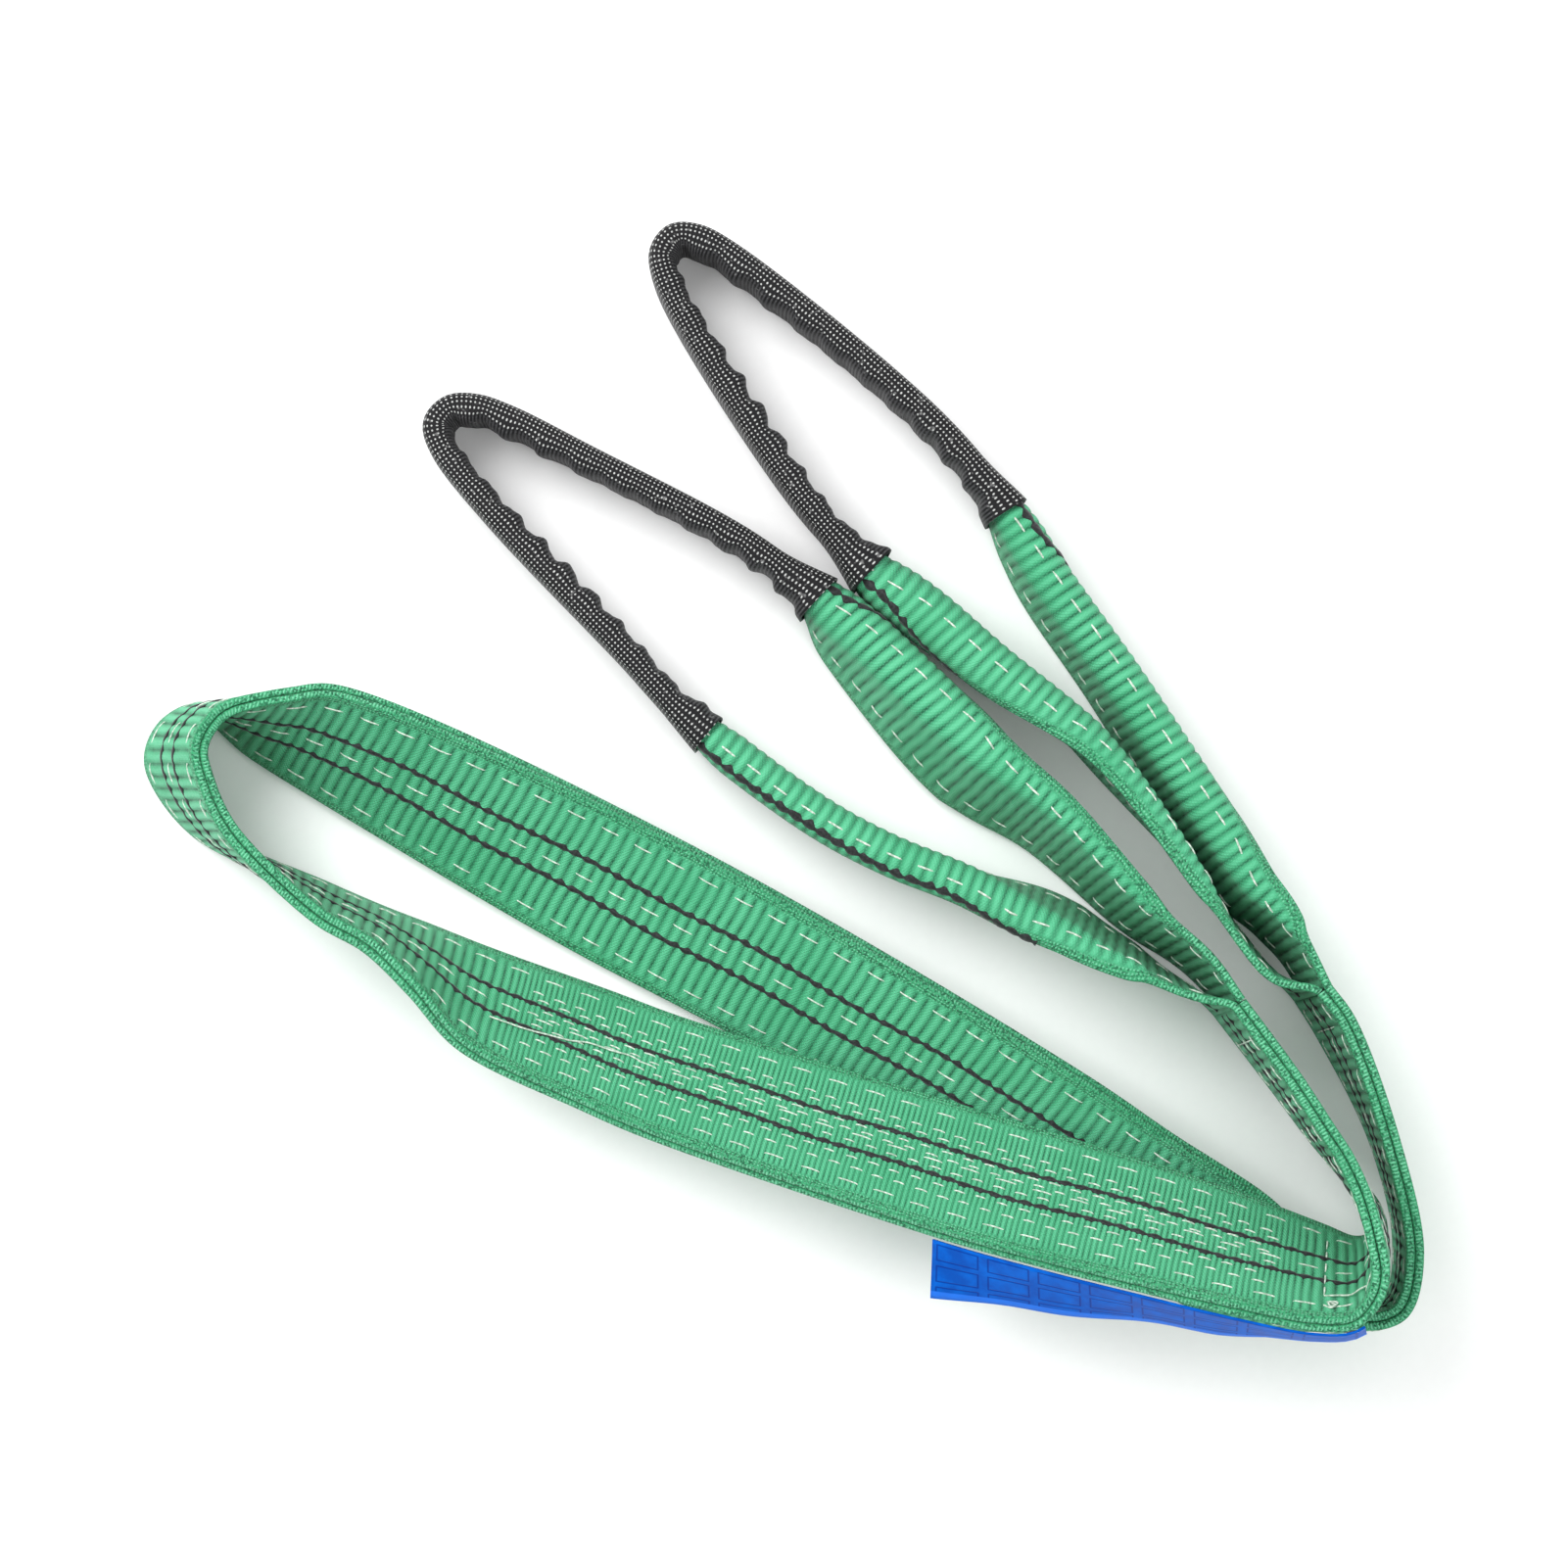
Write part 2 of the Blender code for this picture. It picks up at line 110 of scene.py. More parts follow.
# Places across the web, as shares of its width.
SEAM_PLACES = {"low": 0.13, "middle": 0.5, "high": 0.87}
TRACER_PLACES = {"low": 0.384, "high": 0.616}
OVERLAP_ROWS = (0.27, 0.33, 0.42, 0.47, 0.56, 0.68, 0.76)
ROOT_TACK_SPAN = (0.2, 0.8)
END_TACK_SPAN = (0.18, 0.8)
ARM_SEAM_PLACE = 0.2

# Stitches, in millimetres. Each is a rod of a few rings, which sinks into the web at both ends.
STITCH = 9.5
STITCH_GAP = 4.5
ARM_STITCH = STITCH * 0.8
SHORT_STITCH = 5.5
SHORT_STITCH_GAP = 2.8
TACK_STITCH = STITCH * 0.55
TACK_PITCH = STITCH * 0.7
TACK_LIFT = 0.3
STITCH_RADIUS = 0.33
STITCH_SINK = np.array([-0.6, 0.05, 0.2, 0.25, 0.2, 0.05, -0.6])
STITCH_TAPER = np.array([0.35, 0.85, 1.0, 1.0, 1.0, 0.85, 0.35])
STITCH_WANDER = 0.25
STITCH_UNEVEN = 0.4
ROD_SIDES = 6
ROD_ANGLES = np.arange(ROD_SIDES) * 2 * math.pi / ROD_SIDES

# Loose thread, as (length, distance over the width, height) points.
LONG_TAIL = [
    (799, 40, 0.2),
    (806, 39.6, 0.9),
    (814, 38.2, 0.7),
    (823, 36.5, 0.9),
    (831, 34.6, 0.6),
    (838, 32.2, 0.8),
    (847, 31.4, 0.9),
    (854, 29.8, 0.6),
    (859, 30.0, 0.2),
]
TACK_TAIL = [
    (1120, 46.5, 0.2),
    (1125, 46.5, 1.0),
    (1130, 47.5, 1.2),
    (1135, 49, 1.2),
    (1139, 52, 0.4),
]
TACK_KNOT = [
    (1121, 50.5, 0.4),
    (1124, 52, 0.6),
    (1122, 53.5, 0.9),
    (1121.5, 51.5, 1.2),
    (1124.5, 51, 0.9),
    (1122.5, 54, 0.6),
    (1120, 52.5, 0.3),
]
TAIL_STEP = 0.1

# Tracer yarn, in millimetres: a chain of lozenges, each with a narrow neck before the next.
LOZENGE = 6.0
STEPS_PER_LOZENGE = 8
LOZENGE_ROUNDING = 0.8
TRACER_SECTION = [(-1, -0.2), (-0.6, 0.42), (0, 0.6), (0.6, 0.42), (1, -0.2), (0, -0.6)]
TRACER_NECK = 0.5
TRACER_NECK_HEIGHT = 0.35
TRACER_HALF = 1.45
TOP_TRACER_HALF = 1.9

# Tracer on top of an eye's arms: TRACER_ASIDE from the crown for a reach outside the mouth, and
# TRACER_END over the width after a further TRACER_FALL.
TRACER_ASIDE = 4.5
TRACER_END = 59.0
TRACER_FALL = 45.0
TRACER_REACH = {(1, "a"): 12.0, (1, "b"): 5.0, (2, "a"): 5.0, (2, "b"): 100.0}

# Wear sleeve, in millimetres. The powers square up its oval section. The checked weave fades out
# towards the inside of the loop, by CHECKS_LOST_INSIDE.
SLEEVE_OUTSIDE = 1.8
SLEEVE_WALL = 1.1
SLEEVE_STEP = 1.0
SLEEVE_SIDES = 48
OVAL_UP_POWER = 0.45
OVAL_OFF_POWER = 0.6
GATHER_PITCH = 15.0
GATHER_DEPTH = 3.0
CHECKS_LOST_INSIDE = 0.7

# Label, in millimetres. Its free edge waves a little.
LABEL_THICKNESS = 0.8
LABEL_DROP = 27.0
LABEL_PLAY = 0.8
LABEL_STEP = 2.5
LABEL_ROWS = 15
LABEL_WAVE = 0.7
LABEL_WAVE_LENGTH = 9.0

# Print on the label, in millimetres: rows of empty boxes, and a paler hem that fades in over HEM. The
# hem's pale colour is partly a painted highlight along the free edge.
BOX_PITCH = 19.0
BOX_ROW_PITCH = 10.0
BOX_HALF = (7.6, 3.6)
BOX_LINE = (0.15, 0.5)
BOX_OVERRUN = 0.2
HEM = (23.2, 23.8)

# Studio: metres, degrees and watts, with the floor in millimetres like every mesh. A light has a
# place, the side of its square and a power.
FLOOR_HALF = 4000
FLOOR_LEVEL = -0.6
LIGHTS = {"key_light": ((-0.7, 0.6, 1.2), 0.9, 21.0), "fill_light": ((0.9, -0.5, 1.3), 1.2, 8.0)}
WORLD_STRENGTH = 0.85
CAMERA_TARGET = (0.003, -0.001, 0.0)
CAMERA_DISTANCE = 1.4
CAMERA_ELEVATION = 88.0
LENS = 85.0
SENSOR = 36.0

# Weaves, in millimetres along the cloth. YARN_SLANT sets how steeply the web's yarns cross.
YARN_PITCH = 1.7
YARN_SLANT = 1.35
DOT_PITCHES = (1.3, 1.2)
PICK_PITCH = 1.65
SLEEVE_RIB_PITCH = 1.5
BUMP_STRENGTH = 0.8

WEB_COLOURS = {
    # The next three colours paint light and shade on the ribs: shade in the grooves, the lit crests,
    # and a highlight on top of the crests.
    "groove_shade": (0.005, 0.07, 0.032),
    "crest": (0.06, 0.38, 0.19),
    "crest_highlight": (0.15, 0.58, 0.34),
    # The next colour is a painted highlight on the crossing yarns.
    "yarn": (0.14, 0.55, 0.31),
    "patch": (0.02, 0.26, 0.11),
    "fibre": (0.17, 0.6, 0.36),
    "edge": (0.03, 0.27, 0.115),
    "edge_dot": (0.2, 0.62, 0.38),
    "edge_speck": (0.008, 0.08, 0.036),
}
SLEEVE_COLOURS = {
    "ground": (0.006, 0.006, 0.007),
    "pick": (0.5, 0.51, 0.5),
    # The next colour is painted shade in the grooves between the cross ribs.
    "groove_shade": (0.005, 0.005, 0.006),
    "rib": (0.06, 0.06, 0.064),
    "speckle": (0.3, 0.3, 0.3),
}
LABEL_COLOURS = {
    "dark": (0.0, 0.07, 0.4),
    "light": (0.0, 0.115, 0.56),
    "frame": (0.0, 0.02, 0.2),
    "hem_and_highlight": (0.03, 0.2, 0.85),
}
THREAD_COLOURS = ((0.3, 0.42, 0.33), (0.72, 0.78, 0.7))
TRACER_COLOURS = ((0.003, 0.004, 0.004), (0.02, 0.022, 0.024))
FLOOR_COLOURS = ((0.9, 0.9, 0.9), (0.93, 0.93, 0.93))

# Each row is a place along the route: the low edge's x, y and z, then how far the high edge stands
# out from it in x and y. The height between the edges follows from the width.
BODY_ROUTE = [
    (198, -81.5, 0.5, 0.5, 4),
    (206, -94.5, 0.5, 1, 5),
    (226, -134.5, 0.5, -3.5, 1.5),
    (235, -173.5, 0.5, -4.5, 0.5),
    (231, -195.5, 0.5, -6, 2),
    (213.5, -204.5, 1, -4.5, 8.5),
    (202, -204.5, 1, -0.5, 17.5),
    (179, -204, 2, 13.5, 33.5),
    (152.5, -195, 3, 26, 41.5),
    (123, -176.5, 3, 22.5, 44.5),
    (83.5, -148.5, 3, 27, 40),
    (-23.5, -90.5, 3, 26, 46.5),
    (-83.5, -59, 3, 27.5, 46),
    (-184.5, 2, 2.5, 24.5, 29.5),
    (-199.5, 12, 1.5, 23, 18),
    (-217.5, 26.5, 1, 19.5, -2),
    (-229.5, 22, 1.5, 24, -4),
    (-235.5, 12, 2, 26.5, -2.5),
    (-234.5, 2, 2, 27.5, -2.5),
    (-218, -19, 1, 20.5, -1),
    (-169.5, -41, 1, 4, -10),
    (-149.5, -49.5, 1, 2.5, -12.5),
    (-130.5, -56.5, 1.5, -0.5, -21.5),
    (-109, -64.5, 2, -5, -33.5),
    (-62, -81, 2.5, -9.5, -38.5),
    (-34, -91, 8.5, -12.5, -39),
    (75, -124, 29.5, -15, -41),
    (110.5, -134.5, 39.5, -15, -39.5),
    (146, -145, 48, -14.5, -37),
    (175, -155.5, 52.5, -13, -33),
    (198, -164.5, 53, -10, -28.5),
    (209, -169, 51.5, -8, -23),
    (216, -168.5, 49, -8, -16.5),
    (219.5, -164.5, 46, -8.5, -12),
    (218, -157, 42, -8.5, -6.5),
    (212.5, -149, 36.5, -6, -1),
    (205.5, -140, 30.5, -4, 3),
    (199, -131.5, 24.5, -3.5, 5),
    (187, -114, 13.5, -2, 5.5),
    (167, -86.5, 3.5, 0, 4),
]

# Eye rows carry a sixth number, the folded width, and leave out the two ends, which the body sets.
EYE_ROUTES = {
    1: [
        (186.5, -57, 0.5, 1.5, 7, 57),
        (170.5, -38, 0.5, 3, 6.5, 52),
        (123, 36.5, 1, 5, 3, 37),
        (99, 72, 1.5, 5, 2, 33),
        (83.5, 103.5, 2.5, 0, 0, 31),
        (58, 133.5, 2.5, 0, 0, 31),
        (-17.5, 195.5, 2.5, 0, 0, 31),
        (-30, 202, 2.5, 0, 0, 31),
        (-38, 202, 2.5, 0, 0, 31),
        (-42.5, 196, 2.5, 0, 0, 31),
        (-41, 187, 2.5, 0, 0, 31),
        (-31, 167, 2.5, 0, 0, 31),
        (10, 105, 2.5, 0, 0, 31),
        (34, 78.5, 2.5, 0, 0, 31),
        (51.5, 58.5, 2, 6, 4.5, 35),
        (71.5, 38.5, 1, 7.5, 5, 42),
        (116, -1, 0.5, 6, 6, 53),
        (172, -54.5, 0.5, -5.5, -4.5, 59),
        (184.5, -69.5, 0.5, -4, -4.5, 60),
    ],
    2: [
        (156, -72.5, 0.5, 3, 5, 60),
        (136, -56.5, 0.5, 5, 7.5, 58),
        (97.5, -20.5, 1, 9, 10.5, 55),
        (75, -6.5, 1, 13, 13, 53),
        (57.5, 9, 1.5, 14.5, 12, 48),
        (26, 49.5, 2, 8, 6.5, 35),
        (14.5, 69, 2.5, 0, 0, 31),
        (-12, 88.5, 2.5, 0, 0, 31),
        (-70.5, 119.5, 2.5, 0, 0, 31),
        (-100, 134.5, 2.5, 0, 0, 31),
        (-112, 138.5, 2.5, 0, 0, 31),
        (-121, 138, 2.5, 0, 0, 31),
        (-126.5, 132, 2.5, 0, 0, 31),
        (-124, 123, 2.5, 0, 0, 31),
        (-105.5, 99.5, 2.5, 0, 0, 31),
        (-56, 47.5, 2.5, 0, 0, 31),
        (-34, 24, 2.5, 0, 0, 31),
        (14, -13, 0.5, 0, 0, 37),
        (41, -28, 0.5, 0, 0, 42),
        (70, -40, 0.5, 0, 0, 47),
        (100.5, -48, 1, -6.5, -7, 52),
        (125, -61, 1, -7, -7, 56),
        (155.5, -78, 0.5, -2.5, -2.5, 60),
    ],
}

# Label rows: the distance along the body where the root is sewn, and how far the free edge stands
# out from the root in x and y.
LABEL_ROUTE = [
    (981, 0, -22),
    (1010, 1.5, -18),
    (1037, 2.5, -14.5),
    (1067, 3, -11),
    (1086, 3, -9),
    (1104, 2.5, -6.5),
    (1119, 2.5, -6),
    (1134, 4.5, -5),
]


# ---------------------------------------------------------------- routes


def unit(vectors):
    return vectors / np.linalg.norm(vectors, axis=-1, keepdims=True)


def step_up(share):
    """A smooth step from 0 to 1 as the share goes from 0 to 1."""
    share = np.clip(share, 0.0, 1.0)
    return share * share * (3.0 - 2.0 * share)


def hermite(v, span, start, end, leaving, arriving):
    """The cubic from start to end, with the slope at each, read at a share v of the span."""
    near = (2 * v**3 - 3 * v**2 + 1) * start + (v**3 - 2 * v**2 + v) * span * leaving
    far = (3 * v**2 - 2 * v**3) * end + (v**3 - v**2) * span * arriving
    return near + far


def edges_of(rows):
    """The low edge and the high edge of a route's rows, side by side in one array."""
    edges = []
    for x, y, z, out_x, out_y, *folded_width in rows:
        across = folded_width[0] if folded_width else WEB_WIDTH
        rise = math.sqrt(across**2 - out_x**2 - out_y**2)
        edges.append((x, y, z, x + out_x, y + out_y, z + rise))
    return np.array(edges)


def smooth(points):
    """A centripetal Catmull-Rom curve through the points, read about every ROUTE_STEP."""
    middle = (points[:, :3] + points[:, 3:6]) / 2
    chords = np.linalg.norm(np.diff(middle, axis=0), axis=1)
    knots = np.concatenate([[0.0], np.cumsum(np.sqrt(chords))])
    slopes = np.gradient(points, knots, axis=0)
    curve = []
    for i, chord in enumerate(chords):
        span = knots[i + 1] - knots[i]
        for v in np.arange(0.0, 1.0, 1.0 / math.ceil(chord / ROUTE_STEP)):
            curve.append(hermite(v, span, points[i], points[i + 1], slopes[i], slopes[i + 1]))
    curve.append(points[-1])
    return np.array(curve)


def roll_start(width, radius):
    """How far the web's top is rolled over, from 0 to 1, and where over its width the roll starts."""
    rolled = step_up((WEB_WIDTH - width) / ROLL_ONSET)
    return rolled, width - (PLY / 2 + radius) * rolled


def roll_over(over, width, radius):
    """Where a place over the web's width goes: up the route, off it, and the turn of its face."""
    rolled, start = roll_start(width, radius)
    turn = math.pi * rolled
    arc = math.pi * radius
    bent = np.clip(over - start, 0.0, arc)
    angle = turn * bent / arc
    flap = np.maximum(over - start - arc, 0.0)
    up = np.minimum(over, start) + bent * np.sinc(angle / math.pi) + flap * np.cos(turn)
    off = bent * np.sin(angle / 2) * np.sinc(angle / math.pi / 2) + flap * np.sin(turn)
    return up, radius * rolled - off, angle


class Web:
    """A web's middle surface along a route. Where the route is narrower, the web's top rolls over."""

    def __init__(self, low, high, offset=0.0, eye=None):
        middle = (low + high) / 2
        travel = unit(np.gradient(middle, axis=0))
        self.across = unit(high - low)
        self.left = unit(np.cross(self.across, travel))
        self.low = low + self.left * offset
        self.width = np.linalg.norm(high - low, axis=1)
        steps = np.linalg.norm(np.diff(middle, axis=0), axis=1)
        self.length = np.concatenate([[0.0], np.cumsum(steps)])
        self.radius = np.full(len(low), TIGHT_RADIUS)
        if eye is not None:
            self.radius += self.opening(eye)

    def opening(self, eye):
        """How much wider than TIGHT_RADIUS an eye's roll is, which is nothing deep in the sleeve."""
        widest = np.where(self.length < self.length[-1] / 2, *OPEN_RADII[eye])
        open_radius = (WEB_WIDTH + PLY / 2 - self.width) / (ROLL_TURN - 1.0)
        start, end = SLEEVES[eye]
        from_mouth = np.maximum(start - self.length, self.length - end)
        opened = step_up((from_mouth + MOUTH_INSIDE) / (MOUTH_INSIDE + MOUTH_OUTSIDE))
        return (np.clip(open_radius, TIGHT_RADIUS, widest) - TIGHT_RADIUS) * opened

    def read(self, values, along):
        """Values that are known at each station, read at lengths along the web."""
        if values.ndim == 1:
            return np.interp(along, self.length, values)
        columns = [np.interp(along, self.length, column) for column in values.T]
        return np.stack(columns, axis=-1)

    def crown(self, along):
        """The place over the width that is on top of the roll, or the high seam if that is lower."""
        radius = self.read(self.radius, along)
        _, start = roll_start(self.read(self.width, along), radius)
        return np.minimum(start + radius * math.pi / 2, SEAM_PLACES["high"] * WEB_WIDTH)

    def at(self, along, over, out):
        """Points at lengths along the web, distances over its width and heights off its middle."""
        along, over, out = np.broadcast_arrays(along, over, out)
        width = self.read(self.width, along)
        up, off, angle = roll_over(over, width, self.read(self.radius, along))
        up = up + out * np.sin(angle)
        off = off + out * np.cos(angle)
        across = self.read(self.across, along)
        left = self.read(self.left, along)
        return self.read(self.low, along) + across * up[..., None] + left * off[..., None]

    def edges(self, along):
        """The low edge and the high edge at one length, side by side like a route's row."""
        return np.concatenate([self.at(along, 0.0, 0.0), self.at(along, WEB_WIDTH, 0.0)])

    def between_arms(self, reach):
        """The place midway between an eye's two arms, at a length from the split, in metres."""
        arms = [self.at(s, WEB_WIDTH / 2, 0.0) * MM for s in (reach, self.length[-1] - reach)]
        return (arms[0] + arms[1]) / 2


def body_edges():
    """The low edge and the high edge of the body's middle surface."""
    curve = smooth(edges_of(BODY_ROUTE))
    return curve[:, :3], curve[:, 3:6]


def eye_web(number, plies):
    """The strap of an eye, spliced on to the ends of both plies and cut off at the split.

    Eye 1 is travelled from the inner ply to the outer one, and eye 2 the other way.
    """
    length = plies[1].length[-1]
    split, inside = (0.0, SPLICE) if number == 1 else (length, length - SPLICE)
    ends = {side: np.array([ply.edges(inside), ply.edges(split)]) for side, ply in plies.items()}
    first, last = (1, -1) if number == 1 else (-1, 1)
    rows = np.vstack([ends[first], edges_of(EYE_ROUTES[number]), ends[last][::-1]])
    curve = smooth(rows)
    spliced = Web(curve[:, :3], curve[:, 3:6])
    kept = (spliced.length >= SPLICE) & (spliced.length <= spliced.length[-1] - SPLICE)
    return Web(curve[kept, :3], curve[kept, 3:6], eye=number)


# ---------------------------------------------------------------- meshes


def new_piece(name, points, faces, material, notes=None):
    """A smooth mesh from points in millimetres. notes are three numbers a point for its material."""
    mesh = bpy.data.meshes.new(name)
    mesh.from_pydata((np.asarray(points).reshape(-1, 3) * MM).tolist(), [], faces)
    mesh.polygons.foreach_set("use_smooth", [True] * len(mesh.polygons))
    if notes is not None:
        layer = mesh.attributes.new("cloth", "FLOAT_VECTOR", "POINT")
        layer.data.foreach_set("vector", np.asarray(notes, np.float32).ravel())
    mesh.materials.append(material)
    piece = bpy.data.objects.new(name, mesh)
    bpy.context.scene.collection.objects.link(piece)
    return piece


def notes_of(*values):
    """Three numbers at each point, from arrays that spread over the same rows and rings."""
    return np.stack(np.broadcast_arrays(*values), axis=-1)


def skin(rows, size, first=0):
    """Quads round a stack of rings, with a flat cap at each end."""
    start = np.arange(rows - 1)[:, None] * size + first
    here = np.arange(size)[None, :]
    beside = (here + 1) % size
    quads = [start + here, start + beside, start + beside + size, start + here + size]
    faces = np.stack(quads, axis=-1).reshape(-1, 4).tolist()
    faces.append(list(range(first + size - 1, first - 1, -1)))
    last = first + (rows - 1) * size
    faces.append(list(range(last, last + size)))
    return faces


def joined(parts):
    """Several meshes as one."""
    points, faces = [], []
    for some_points, some_faces in parts:
        shift = sum(len(p) for p in points)
        points.append(some_points)
        faces += [[i + shift for i in face] for face in some_faces]
    return np.vstack(points), faces


def rods(stacks):
    """Separate rods as one mesh, each from its own stack of rings."""
    points = np.array(stacks)
    count, rows, size = points.shape[:3]
    faces = []
    for number in range(count):
        faces += skin(rows, size, number * rows * size)
    return points.reshape(-1, 3), faces


def at_share(share):
    """The place of a row that keeps to one share of the width."""
    return lambda along: np.full(len(along), share * WEB_WIDTH)


def rib_phase(lengths, fine_stretch):
    """The ribs passed at each length, and their pitch there."""
    fine = np.zeros_like(lengths)
    if fine_stretch is not None:
        start, end = fine_stretch
        begun = step_up((lengths - start + RIB_CHANGE) / RIB_CHANGE)
        fine = begun * step_up((end + RIB_CHANGE - lengths) / RIB_CHANGE)
    pitch = RIB_PITCH + (FINE_RIB_PITCH - RIB_PITCH) * fine
    steps = np.diff(lengths) / ((pitch[1:] + pitch[:-1]) / 2)
    return np.concatenate([[0.0], np.cumsum(steps)]), pitch


def web_stations(web, fine_stretch):
    """Lengths with the same number of steps on each rib."""
    lengths = np.arange(0.0, web.length[-1], ROUTE_STEP)
    phase, _ = rib_phase(lengths, fine_stretch)
    count = math.ceil(phase[-1] * STEPS_PER_RIB)
    chosen = np.interp(np.linspace(0.0, phase[-1], count), phase, lengths)
    return np.append(chosen[:-1], web.length[-1])


def face_places(step):
    return np.linspace(FACE_INSET, WEB_WIDTH - FACE_INSET, round(WEB_WIDTH / step))


def web_section(hidden_side):
    """Places round the section as over the width, off the middle and face, which is 0 at an edge."""
    below = face_places(HIDDEN_STEP if hidden_side == -1 else FACE_STEP)
    above = face_places(HIDDEN_STEP if hidden_side == 1 else FACE_STEP)
    section = [(0.0, SELVEDGE_HALF, 0.0), (0.0, -SELVEDGE_HALF, 0.0)]
    section += [(x, -PLY / 2, -1.0) for x in below]
    section += [(WEB_WIDTH, -SELVEDGE_HALF, 0.0), (WEB_WIDTH, SELVEDGE_HALF, 0.0)]
    section += [(x, PLY / 2, 1.0) for x in above[::-1]]
    return np.array(section).T


def webbing_mesh(web, fine_stretch=None, hidden_side=0):
    """The web as one closed solid with ribs across both faces and plain selvedges."""
    lengths = web_stations(web, fine_stretch)
    phase, pitch = rib_phase(lengths, fine_stretch)
    over, out, face = web_section(hidden_side)
    from_edge = np.minimum(over, WEB_WIDTH - over)
    inland = step_up((from_edge - SELVEDGE + SELVEDGE_FADE) / RIB_RISE)
    wander = RIB_WANDER * np.sin(over * RIB_WANDER_RATE)
    crest = np.abs(np.sin(math.pi * phase[:, None] + wander[None, :])) ** RIB_ROUNDING
    relief = (crest - RIB_MIDDLE) * inland[None, :] * np.abs(face)[None, :]
    depth = RIB_DEPTH * (pitch / RIB_PITCH)[:, None]
    height = out[None, :] + relief * depth * face[None, :]
    points = web.at(lengths[:, None], over[None, :], height)
    # The relief goes to the material too, which paints shade in the ribs' grooves and a highlight on
    # their crests.
    notes = notes_of(lengths[:, None], over[None, :], relief)
    return points, skin(len(lengths), len(over)), notes


def rod_heights(face, lift=0.0):
    """Heights round each ring of a stitch that lies on a face of the web."""
    rise = (STITCH_TAPER * STITCH_RADIUS)[:, None] * np.sin(ROD_ANGLES)
    return face + math.copysign(1.0, face) * (lift + STITCH_SINK[:, None] + rise)


def rod_spread():
    """Distances to either side round each ring of a stitch."""
    return (STITCH_TAPER * STITCH_RADIUS)[:, None] * np.cos(ROD_ANGLES)


def stitch_row(web, start, end, place, face, stitch=STITCH, gap=STITCH_GAP):
    """A row of stitches, each a little out of line. place gives the distance over the width."""
    stacks = []
    for number in range(int((end - start + gap) // (stitch + gap))):
        begin = start + number * (stitch + gap)
        finish = begin + stitch + STITCH_UNEVEN * math.sin(number * 1.7)
        along = np.linspace(begin, finish, len(STITCH_SINK))
        over = place(along) + STITCH_WANDER * math.sin(number * 2.3)
        stacks.append(web.at(along[:, None], over[:, None] + rod_spread(), rod_heights(face)))
    return rods(stacks)


def crossing_stitches(web, at, span, face):
    """Stitches across the web, one after another."""
    begin, end = (share * WEB_WIDTH for share in span)
    count = int((end - begin) // TACK_PITCH)
    stacks = []
    for number in range(count):
        first = begin + number * (end - begin) / count
        over = first + np.linspace(0.0, TACK_STITCH, len(STITCH_SINK))
        stacks.append(web.at(at + rod_spread(), over[:, None], rod_heights(face, TACK_LIFT)))
    return rods(stacks)


def loose_thread(web, path, face):
    """A thread that lies on a face of the web, through the points of its path."""
    knots = np.array(path)
    slopes = np.gradient(knots, axis=0)
    steps = np.arange(0.0, len(knots) - 1 + TAIL_STEP / 2, TAIL_STEP)
    first = np.minimum(steps.astype(int), len(knots) - 2)
    next_one = first + 1
    v = (steps - first)[:, None]
    place = hermite(v, 1.0, knots[first], knots[next_one], slopes[first], slopes[next_one])
    middle = web.at(place[:, 0], place[:, 1], face + np.sign(face) * place[:, 2])
    travel = unit(np.gradient(middle, axis=0))
    side = unit(np.cross(travel, web.read(web.left, place[:, 0])))
    rise = np.cross(side, travel)
    angles = ROD_ANGLES[None, :, None]
    ring = side[:, None, :] * np.cos(angles) + rise[:, None, :] * np.sin(angles)
    points = middle[:, None, :] + ring * STITCH_RADIUS
    return points.reshape(-1, 3), skin(len(steps), ROD_SIDES)


def tracer_mesh(web, start, end, place, face, widest=TRACER_HALF):
    """A chain of yarn lozenges in one face of the web, which wanders a little from its place."""
    along = np.arange(start, end, LOZENGE / STEPS_PER_LOZENGE)
    swell = np.abs(np.sin(math.pi * along / LOZENGE)) ** LOZENGE_ROUNDING
    half = TRACER_NECK + (widest - TRACER_NECK) * swell
    shape = np.array(TRACER_SECTION)
    over = place(along)[:, None] + half[:, None] * shape[None, :, 0]
    wander = 0.2 * np.sin(along * 0.9) + 0.5 * np.sin(along * 0.083)
    over = over + wander[:, None]
    thickness = TRACER_NECK_HEIGHT + (1.0 - TRACER_NECK_HEIGHT) * swell
    height = face + math.copysign(1.0, face) * shape[None, :, 1] * thickness[:, None]
    points = web.at(along[:, None], over, height)
    return points.reshape(-1, 3), skin(len(along), len(shape))


def falling_tracer(web, mouth, reach):
    """The place of a tracer that lies beside the crown near the mouth, and sinks behind it."""

    def place(along):
        far = step_up((np.abs(along - mouth) - reach) / TRACER_FALL)
        near = web.crown(along) + TRACER_ASIDE
        return near + (TRACER_END - near) * far

    return place


# ---------------------------------------------------------------- materials


